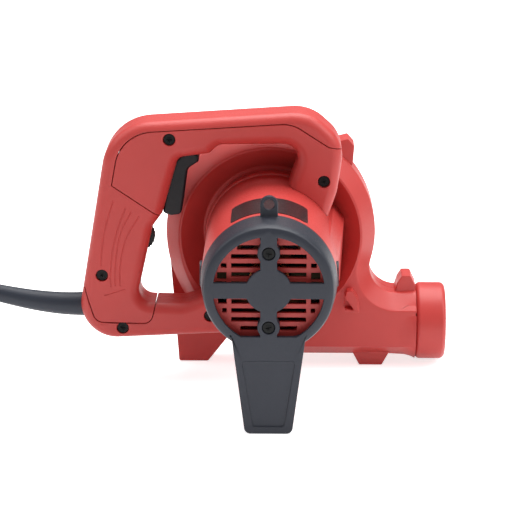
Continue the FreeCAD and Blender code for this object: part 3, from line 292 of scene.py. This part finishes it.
# Faces between rings of corners, and from the last ring to the first where they go round.
def joinRings(work, rings, goesRound):
    for i in range(len(rings) if goesRound else len(rings) - 1):
        first, second = rings[i], rings[(i + 1) % len(rings)]
        for k in range(len(first)):
            after = (k + 1) % len(first)
            work.faces.new((first[k], first[after], second[after], second[k]))


# A node's mesh as a new one with its seams joined.
def merged(node):
    work = bmesh.new()
    work.from_mesh(frame["nodes"][node].data)
    bmesh.ops.remove_doubles(work, verts=work.verts, dist=weld)
    bmesh.ops.dissolve_degenerate(work, dist=weld, edges=work.edges)
    return meshFrom(work, node + "Merged")


# A node's mesh with its edges rounded by the width given, in millimetres. A corner that the
# rounding throws off the surface is brought back between its neighbours, and none leaves the
# node's own box.
def softened(node, width):
    sharp = merged(node)
    tree = surfaceOf(sharp)
    soft = applied(sharp, "BEVEL", {
        "width": width * mm, "segments": softLook["segments"], "limit_method": "ANGLE",
        "loop_slide": False, "angle_limit": math.radians(softLook["angle"]),
        "use_clamp_overlap": False, "miter_outer": "MITER_SHARP"})
    work = bmesh.new()
    work.from_mesh(soft)
    limit = width * softLook["thrown"] * mm
    thrown = {v for v in work.verts if tree.find_nearest(v.co)[3] > limit}
    for vert in sorted(thrown, key=lambda v: v.index):
        near = [e.other_vert(vert) for e in vert.link_edges]
        good = [v.co for v in near if v not in thrown]
        if good:
            vert.co = sum(good, Vector()) / len(good)
    for vert in thrown:
        spot, _, _, away = tree.find_nearest(vert.co)
        if away > limit:
            vert.co = spot
    lows = [min(v.co[k] for v in sharp.vertices) for k in range(3)]
    highs = [max(v.co[k] for v in sharp.vertices) for k in range(3)]
    for vert in work.verts:
        for k in range(3):
            vert.co[k] = min(max(vert.co[k], lows[k]), highs[k])
    bmesh.ops.dissolve_degenerate(work, dist=weld, edges=work.edges)
    work.to_mesh(soft)
    work.free()
    return soft


# A round tube along points in metres, with closed ends.
def tubeMesh(points, radius, sides):
    work = bmesh.new()
    rings = []
    for i, point in enumerate(points):
        along = points[min(i + 1, len(points) - 1)] - points[max(i - 1, 0)]
        along.normalize()
        side = along.cross(Vector((0, 1, 0)))
        if side.length < 1e-4:
            side = along.cross(Vector((1, 0, 0)))
        side.normalize()
        up = side.cross(along)
        ring = []
        for k in range(sides):
            turn = 2 * math.pi * k / sides
            ring.append(work.verts.new(point + (side * math.cos(turn) + up * math.sin(turn)) * radius))
        rings.append(ring)
    joinRings(work, rings, False)
    work.faces.new(rings[0][::-1])
    work.faces.new(rings[-1])
    return meshFrom(work, "tube")


# A closed profile of (radius, y) pairs in millimetres, turned round the motor axis.
def turnedMesh(profile, steps):
    work = bmesh.new()
    rings = []
    for i in range(steps):
        turn = 2 * math.pi * i / steps
        rings.append([work.verts.new(at(r * math.cos(turn), y, r * math.sin(turn)))
                      for r, y in profile])
    joinRings(work, rings, True)
    return meshFrom(work, "turned")


# A smooth line through the corners given.
def splinePoints(corners, perSpan):
    count = len(corners)
    points = []
    for i in range(count - 1):
        p = [corners[min(max(i + k - 1, 0), count - 1)] for k in range(4)]
        for step in range(perSpan):
            t = step / perSpan
            points.append(0.5 * (2 * p[1] + (p[2] - p[0]) * t
                                 + (2 * p[0] - 5 * p[1] + 4 * p[2] - p[3]) * t ** 2
                                 + (3 * p[1] - p[0] - 3 * p[2] + p[3]) * t ** 3))
    points.append(corners[-1])
    return points


# mains cord: hanging run, two-layer coil and tail as one curve

cordLook = {"radius": 3.75, "coilX": -266.0, "coilY": 194.0, "coilRadius": 56.0, "pitch": 9.6,
            "rise": 8.9, "perHalf": 12, "inward": 8, "outward": 6, "climb": 7, "tail": 44.0,
            "round": 6}
low = cordLook["radius"] - axisHeight
high = low + cordLook["rise"]
routePoints = [(-196.0, 107.9, -34.2), (-220.0, 107.9, -28.2), (-247.0, 109.5, -30.5),
               (-273.0, 112.5, -42.0), (-296.0, 119.0, -60.0), (-313.0, 134.0, -79.0),
               (-322.0, 161.0, low), (-322.0, 194.0, low)]


# The coil's control points: in on the floor, one half turn up, and out on the second layer.
def coilRoute(look):
    radii = [look["coilRadius"] - look["pitch"] / 2 * k for k in range(look["inward"])]
    radii += [radii[-1] + look["pitch"] / 2 * k for k in range(look["outward"])]
    swell = 1 / math.cos(math.pi / look["perHalf"] / 2)  # the curve runs inside its points
    points = []
    for half in range(len(radii) - 1):
        side = -1 if half % 2 == 0 else 1
        radius = (radii[half] + radii[half + 1]) / 2 * swell
        middle = look["coilX"] + side * (radii[half] - radii[half + 1]) / 2
        for k in range(look["perHalf"]):
            share = (k + 0.5) / look["perHalf"]
            turn = (math.pi if side < 0 else 0.0) - math.pi * share
            if half < look["climb"]:
                height = low
            elif half > look["climb"]:
                height = high
            else:
                height = low + look["rise"] * (1 - math.cos(math.pi * share)) / 2
            points.append((middle + radius * math.cos(turn),
                           look["coilY"] + radius * math.sin(turn), height))
    return points


tailX = cordLook["coilX"] + cordLook["coilRadius"] - cordLook["pitch"]
tailPoints = [(tailX, cordLook["coilY"] - cordLook["tail"] * k / 3, high) for k in range(1, 4)]
cordPoints = [at(*p) for p in routePoints + coilRoute(cordLook) + tailPoints]
cordData = bpy.data.curves.new("mainsCord", "CURVE")
cordData.dimensions = "3D"
cordData.bevel_depth = cordLook["radius"] * mm
cordData.bevel_resolution = cordLook["round"]
cordData.resolution_u = cordLook["round"]
cordData.use_fill_caps = True
cordSpline = cordData.splines.new("NURBS")
cordSpline.points.add(len(cordPoints) - 1)
for spot, point in zip(cordSpline.points, cordPoints):
    spot.co = (*point, 1.0)
cordSpline.order_u = 3
cordSpline.use_endpoint_u = True
cordData.materials.append(finishes["rubber"])
mainsCord = linked("mainsCord", cordData)
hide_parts("cord_run", "cord_coil", "cord_tail")
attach(mainsCord, "housing")
print("cord laid with", len(cordPoints), "points")


# shells: the moulded pieces with their edges rounded by a width in millimetres

shellLooks = {
    "rear_cover": ("rearCover", "dark_cover", 0.55),
    "motor_housing": ("motorHousing", "red_shell", 0.5),
    "end_grille": ("endGrille", "red_shell", 0.25),
    "volute_near": ("voluteNear", "red_shell", 0.6),
    "volute_far": ("voluteFar", "red_shell", 0.6),
    "outlet_collar": ("outletCollar", "red_shell", 0.9),
    "intake_grille": ("intakeGrille", "black_plastic", 0.3),
    "upper_arm_near": ("upperArmNear", "red_shell", 0.35),
    "upper_arm_far": ("upperArmFar", "red_shell", 0.35),
    "lower_arm_near": ("lowerArmNear", "red_shell", 0.35),
    "lower_arm_far": ("lowerArmFar", "red_shell", 0.35),
    "grip_far": ("gripFar", "red_shell", 0.35),
    "brush_caps": ("brushCaps", "dark_cover", 0.25),
    "plug_body": ("plugBody", "rubber", 0.6),
}
for node, (label, slotName, width) in shellLooks.items():
    place(label, softened(node, width), slotName, "housing", node)
print("shells rounded:", len(shellLooks))


# flare between the flat-sided duct and its round collar

flareLook = {"y": 143.0, "z": -66.9, "start": 84.0, "end": 99.7, "inner": 19.7, "outer": 26.4,
             "sunk": 0.15, "steepness": 2.2, "around": 120, "along": 14, "probe": 60.0}


# A ring that leaves the duct's own outline and grows, ever steeper, to a circle.
def flareMesh(look):
    tree = surfaceOf(*(frame["nodes"][node].data for node in ("volute_near", "volute_far")))
    work = bmesh.new()
    rings = []
    for k in range(look["around"]):
        turn = 2 * math.pi * k / look["around"]
        out = Vector((0, math.cos(turn), math.sin(turn)))
        far = at(look["start"], look["y"], look["z"]) + out * look["probe"] * mm
        away = tree.ray_cast(far, -out)[3]
        own = look["probe"] - away / mm - look["sunk"]
        profile = [(look["inner"], look["end"]), (look["inner"], look["start"])]
        for i in range(look["along"] + 1):
            part = i / look["along"]
            profile.append((own + (look["outer"] - own) * part ** look["steepness"],
                            look["start"] + (look["end"] - look["start"]) * part))
        rings.append([work.verts.new(at(x, look["y"] + r * out.y, look["z"] + r * out.z))
                      for r, x in profile])
    joinRings(work, rings, True)
    return meshFrom(work, "flare")


place("ductFlare", flareMesh(flareLook), "red_shell", "housing", angle=50.0)
print("flare set on the duct")


# trigger, speed dial and lock button, which ride on bodies of their own

movingLooks = {
    "trigger": ("triggerPaddle", "black_plastic", 0.35, "trigger_lever"),
    "speed_dial": ("speedDial", "black_plastic", 0.2, "dial"),
    "lock_button": ("lockButton", "black_plastic", 0.2, "lock"),
}
for node, (label, slotName, width, body) in movingLooks.items():
    place(label, softened(node, width), slotName, body, node)
print("moving pieces rounded:", len(movingLooks))


# grip's near side: flutes and the field's lower edge, cut into the rounded shell as (x, z) lines

gripLook = {
    "softness": 0.35, "from": 60.0, "least": 0.97, "most": 1.03,
    "flute": {"radius": 0.55, "sink": 0.36, "perSpan": 8, "sides": 12},
    "edge": {"radius": 0.5, "sink": 0.3, "perSpan": 10, "sides": 10},
    "lines": [
        ("flute", [(-104.7, 33.0), (-110.8, 23.1), (-116.2, 8.0), (-118.4, -3.8)]),
        ("flute", [(-103.3, 32.0), (-108.9, 13.5), (-111.7, -3.1), (-112.3, -12.5)]),
        ("flute", [(-95.2, 27.3), (-100.5, 13.5), (-104.5, -3.0), (-106.1, -19.7), (-105.8, -27.4)]),
        ("flute", [(-91.3, 24.8), (-98.1, 12.2), (-101.4, -1.6), (-102.8, -15.5), (-102.9, -26.7)]),
        ("flute", [(-86.4, 21.6), (-94.5, 8.1), (-97.9, -3.0), (-99.7, -15.5), (-99.8, -26.7)]),
        ("edge", [(-110.4, -33.4), (-96.6, -28.8)]),
    ],
}


# A smooth line through (x, z) corners, laid a little above the near side of a surface.
def onSurface(tree, corners, above, perSpan):
    laid = []
    for point in splinePoints([Vector((x, 0, z)) for x, z in corners], perSpan):
        start = at(point.x, gripLook["from"], point.z)
        hit = tree.ray_cast(start, Vector((0, 1, 0)))[0]
        if hit is not None:
            laid.append(hit + Vector((0, -1, 0)) * above * mm)
    return laid


# The area of a mesh's faces, in square metres.
def areaOf(mesh):
    return sum(polygon.area for polygon in mesh.polygons)


gripMesh = softened("grip_near", gripLook["softness"])
gripTree = surfaceOf(gripMesh)
for kind, corners in gripLook["lines"]:
    groove = gripLook[kind]
    line = onSurface(gripTree, corners, groove["radius"] - groove["sink"], groove["perSpan"])
    cut = cutBy(gripMesh, tubeMesh(line, groove["radius"] * mm, groove["sides"]))
    if gripLook["least"] < areaOf(cut) / areaOf(gripMesh) < gripLook["most"]:
        gripMesh = cut
    else:
        print("line left out:", corners[0])
place("gripNear", gripMesh, "red_shell", "housing", "grip_near")
print("grip cut with", len(gripLook["lines"]), "lines; faces:", len(gripMesh.polygons))


# bead where the barrel meets the dish

beadLook = {"y": 121.6, "width": 2.6, "proud": 1.5, "sides": 12, "steps": 128}
beadProfile = []
for k in range(beadLook["sides"]):
    turn = 2 * math.pi * k / beadLook["sides"]
    beadProfile.append((barrelRadius + beadLook["proud"] * math.cos(turn),
                        beadLook["y"] + beadLook["width"] * math.sin(turn)))
place("barrelBead", turnedMesh(beadProfile, beadLook["steps"]), "red_shell", "housing")


# blank label on the barrel

labelLook = {"from": -34.0, "to": 34.0, "start": 26.0, "end": 60.0, "corner": 2.5, "lift": 0.3,
             "across": 48, "along": 28, "thickness": 0.3}


# A thin label wrapped on the barrel, its corners rounded.
def labelMesh(look):
    work = bmesh.new()
    span = math.radians(look["to"] - look["from"]) * barrelRadius
    length = look["end"] - look["start"]
    corner = look["corner"]
    r = barrelRadius + look["lift"]
    rows = []
    for j in range(look["along"] + 1):
        v = length * j / look["along"]
        near = min(v, length - v)
        pull = corner - math.sqrt(corner ** 2 - (corner - near) ** 2) if near < corner else 0.0
        row = []
        for i in range(look["across"] + 1):
            u = pull + (span - 2 * pull) * i / look["across"]
            turn = math.radians(look["from"]) + u / barrelRadius
            row.append(work.verts.new(at(r * math.sin(turn), look["start"] + v, r * math.cos(turn))))
        rows.append(row)
    for lower, upper in zip(rows, rows[1:]):
        for i in range(look["across"]):
            work.faces.new((lower[i], lower[i + 1], upper[i + 1], upper[i]))
    return applied(meshFrom(work, "label"), "SOLIDIFY",
                   {"thickness": look["thickness"] * mm, "offset": -1.0})


place("blankLabel", labelMesh(labelLook), "black_plastic", "housing", finish=labelFinish)
print("bead and blank label set")


# screws: one head, set on points by a node tree

# The profile gives shares of the radius against depths; the cross is a long, deep, narrow cut.
headLook = {"profile": ((0.0, 0.0), (0.55, 0.0), (0.86, 0.18), (1.0, 0.75)), "steps": 40,
            "crossLong": 1.3, "crossDeep": 2.6, "crossWide": 0.95}
screwLooks = {
    "handleScrewHeads": {"radius": 3.5, "height": 2.5, "y": 92.8, "seed": 3,
                         "places": ((-66.0, 73.4), (35.1, 45.6), (-111.9, -19.5), (-98.7, -56.4),
                                    (-40.1, -47.4))},
    "coverScrewHeads": {"radius": 3.5, "height": 1.9, "y": 0.2, "seed": 11,
                        "places": ((0.0, 24.0), (0.0, -24.0))},
}


# A cross-head screw's head with its top at y = 0, facing -Y, in metres from its place.
def screwHead(radius, height):
    work = bmesh.new()
    profile = [(radius * share, y) for share, y in headLook["profile"]]
    profile += [(radius, height), (0.0, height)]
    steps = headLook["steps"]
    loops = []
    for r, y in profile:
        if r == 0:
            loops.append([work.verts.new((0, y * mm, 0))])
        else:
            loops.append([work.verts.new((r * mm * math.cos(2 * math.pi * k / steps), y * mm,
                                          r * mm * math.sin(2 * math.pi * k / steps)))
                          for k in range(steps)])
    for first, second in zip(loops, loops[1:]):
        for k in range(steps):
            corners = []
            for loop, step in ((first, k), (first, k + 1), (second, k + 1), (second, k)):
                corner = loop[step % len(loop)]
                if corner not in corners:
                    corners.append(corner)
            work.faces.new(corners)
    head = meshFrom(work, "screwHead")
    for turn in (0.0, math.pi / 2):
        blade = bmesh.new()
        bmesh.ops.create_cube(blade, size=1.0)
        size = Matrix.Diagonal((radius * headLook["crossLong"] * mm, headLook["crossDeep"] * mm,
                                headLook["crossWide"] * mm, 1.0))
        bmesh.ops.transform(blade, matrix=Matrix.Rotation(turn, 4, "Y") @ size, verts=blade.verts)
        mesh = bpy.data.meshes.new("blade")
        blade.to_mesh(mesh)
        blade.free()
        head = cutBy(head, mesh)
    return head


# Sets a piece on every point, each turned by its own amount, and makes it one mesh.
def makeSpreadTree():
    tree = bpy.data.node_groups.new("screwSpread", "GeometryNodeTree")
    for name, kind in (("Places", "Geometry"), ("Head", "Object"), ("Finish", "Material"),
                       ("Seed", "Int")):
        tree.interface.new_socket(name, in_out="INPUT", socket_type="NodeSocket" + kind)
    tree.interface.new_socket("Screws", in_out="OUTPUT", socket_type="NodeSocketGeometry")
    entry = addNode(tree, "NodeGroupInput").outputs
    info = addNode(tree, "GeometryNodeObjectInfo", sources={"Object": entry["Head"]})
    turns = addNode(tree, "FunctionNodeRandomValue", {3: math.pi}, {"Seed": entry["Seed"]},
                    data_type="FLOAT")
    combine = addNode(tree, "ShaderNodeCombineXYZ", sources={"Y": turns.outputs[1]})
    instance = addNode(tree, "GeometryNodeInstanceOnPoints",
                       sources={"Points": entry["Places"], "Instance": info.outputs["Geometry"],
                                "Rotation": combine.outputs["Vector"]})
    realize = addNode(tree, "GeometryNodeRealizeInstances",
                      sources={"Geometry": instance.outputs["Instances"]})
    paint = addNode(tree, "GeometryNodeSetMaterial",
                    sources={"Geometry": realize.outputs["Geometry"], "Material": entry["Finish"]})
    addNode(tree, "NodeGroupOutput", sources={"Screws": paint.outputs["Geometry"]})
    return tree


spreadTree = makeSpreadTree()
spreadInputs = {item.name: item.identifier for item in spreadTree.interface.items_tree
                if item.in_out == "INPUT"}


# Screws of one size at (x, z) places, with their heads towards the viewer.
def setScrews(label, look):
    head = linked("screwHead", screwHead(look["radius"], look["height"]))
    points = bpy.data.meshes.new("screwPlaces")
    points.from_pydata([at(x, look["y"], z) for x, z in look["places"]], [], [])
    carrier = linked("screwPlaces", points)
    modifier = carrier.modifiers.new("Spread", "NODES")
    modifier.node_group = spreadTree
    modifier[spreadInputs["Head"]] = head
    modifier[spreadInputs["Finish"]] = finishes["black_steel"]
    modifier[spreadInputs["Seed"]] = look["seed"]
    carrier.update_tag()
    ready = carrier.evaluated_get(bpy.context.evaluated_depsgraph_get())
    mesh = bpy.data.meshes.new_from_object(ready)
    bpy.data.objects.remove(carrier)
    bpy.data.objects.remove(head)
    place(label, mesh, "black_steel", "housing")


for label, look in screwLooks.items():
    setScrews(label, look)
print("screws set")


# floor, lamps and world

# white paper, matt: bright and even, and lit a little for camera and reflections only
stageLook = {"floor": "#F6F6F6", "world": 0.30, "lift": 0.72, "rough": 0.9, "shine": 0.15,
             "depth": -0.0003, "left": -6, "right": 6, "front": -4, "back": 8}
corners = [(stageLook[x], stageLook[y], stageLook["depth"])
           for x, y in (("left", "front"), ("right", "front"), ("right", "back"), ("left", "back"))]
floorMesh = bpy.data.meshes.new("floor")
floorMesh.from_pydata(corners, [], [(0, 1, 2, 3)])
floor = linked("floor", floorMesh)
floor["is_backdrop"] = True
floorMaterial, tree, shader, output = newMaterial("mattPaper")
shader.inputs["Roughness"].default_value = stageLook["rough"]
shader.inputs["Specular IOR Level"].default_value = stageLook["shine"]
shader.inputs["Base Color"].default_value = linear(stageLook["floor"])
rays = addNode(tree, "ShaderNodeLightPath").outputs
seen = addNode(tree, "ShaderNodeMath", sources={0: rays["Is Camera Ray"], 1: rays["Is Glossy Ray"]},
               operation="MAXIMUM")
strength = addNode(tree, "ShaderNodeMath", {1: stageLook["lift"]}, {0: seen.outputs["Value"]},
                   operation="MULTIPLY")
glow = addNode(tree, "ShaderNodeEmission", {"Color": (1, 1, 1, 1)},
               {"Strength": strength.outputs["Value"]})
added = addNode(tree, "ShaderNodeAddShader",
                sources={0: shader.outputs["BSDF"], 1: glow.outputs["Emission"]})
tree.links.new(added.outputs["Shader"], output.inputs["Surface"])
floorMesh.materials.append(floorMaterial)

world = bpy.data.worlds.new("softWorld")
world.use_nodes = True
worldTree = world.node_tree
background = worldTree.nodes["Background"]
background.inputs["Color"].default_value = (1.0, 1.0, 1.0, 1.0)
worldRays = addNode(worldTree, "ShaderNodeLightPath").outputs
worldStrength = addNode(worldTree, "ShaderNodeMapRange", {"To Min": stageLook["world"], "To Max": 1.0},
                        {"Value": worldRays["Is Camera Ray"]})
worldTree.links.new(worldStrength.outputs["Result"], background.inputs["Strength"])
scene.world = world

lampAim = Vector((0.0, 0.0, 0.08))
lampLooks = {
    "topLamp": {"place": (0.15, 0.45, 1.6), "size": 1.4, "power": 34.0},
    "rightLamp": {"place": (1.4, -0.35, 1.2), "size": 1.0, "power": 14.0},
    "leftLamp": {"place": (-1.3, 0.1, 1.3), "size": 1.2, "power": 9.0},
    "frontLamp": {"place": (-0.8, -1.9, 1.1), "size": 1.4, "power": 2.0},
}
for label, look in lampLooks.items():
    lampData = bpy.data.lights.new(label, "AREA")
    lampData.shape = "SQUARE"
    lampData.size = look["size"]
    lampData.energy = look["power"]
    lamp = linked(label, lampData)
    lamp.location = look["place"]
    lamp.rotation_euler = (lampAim - lamp.location).to_track_quat("-Z", "Y").to_euler()
print("stage lit")

low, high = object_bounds()
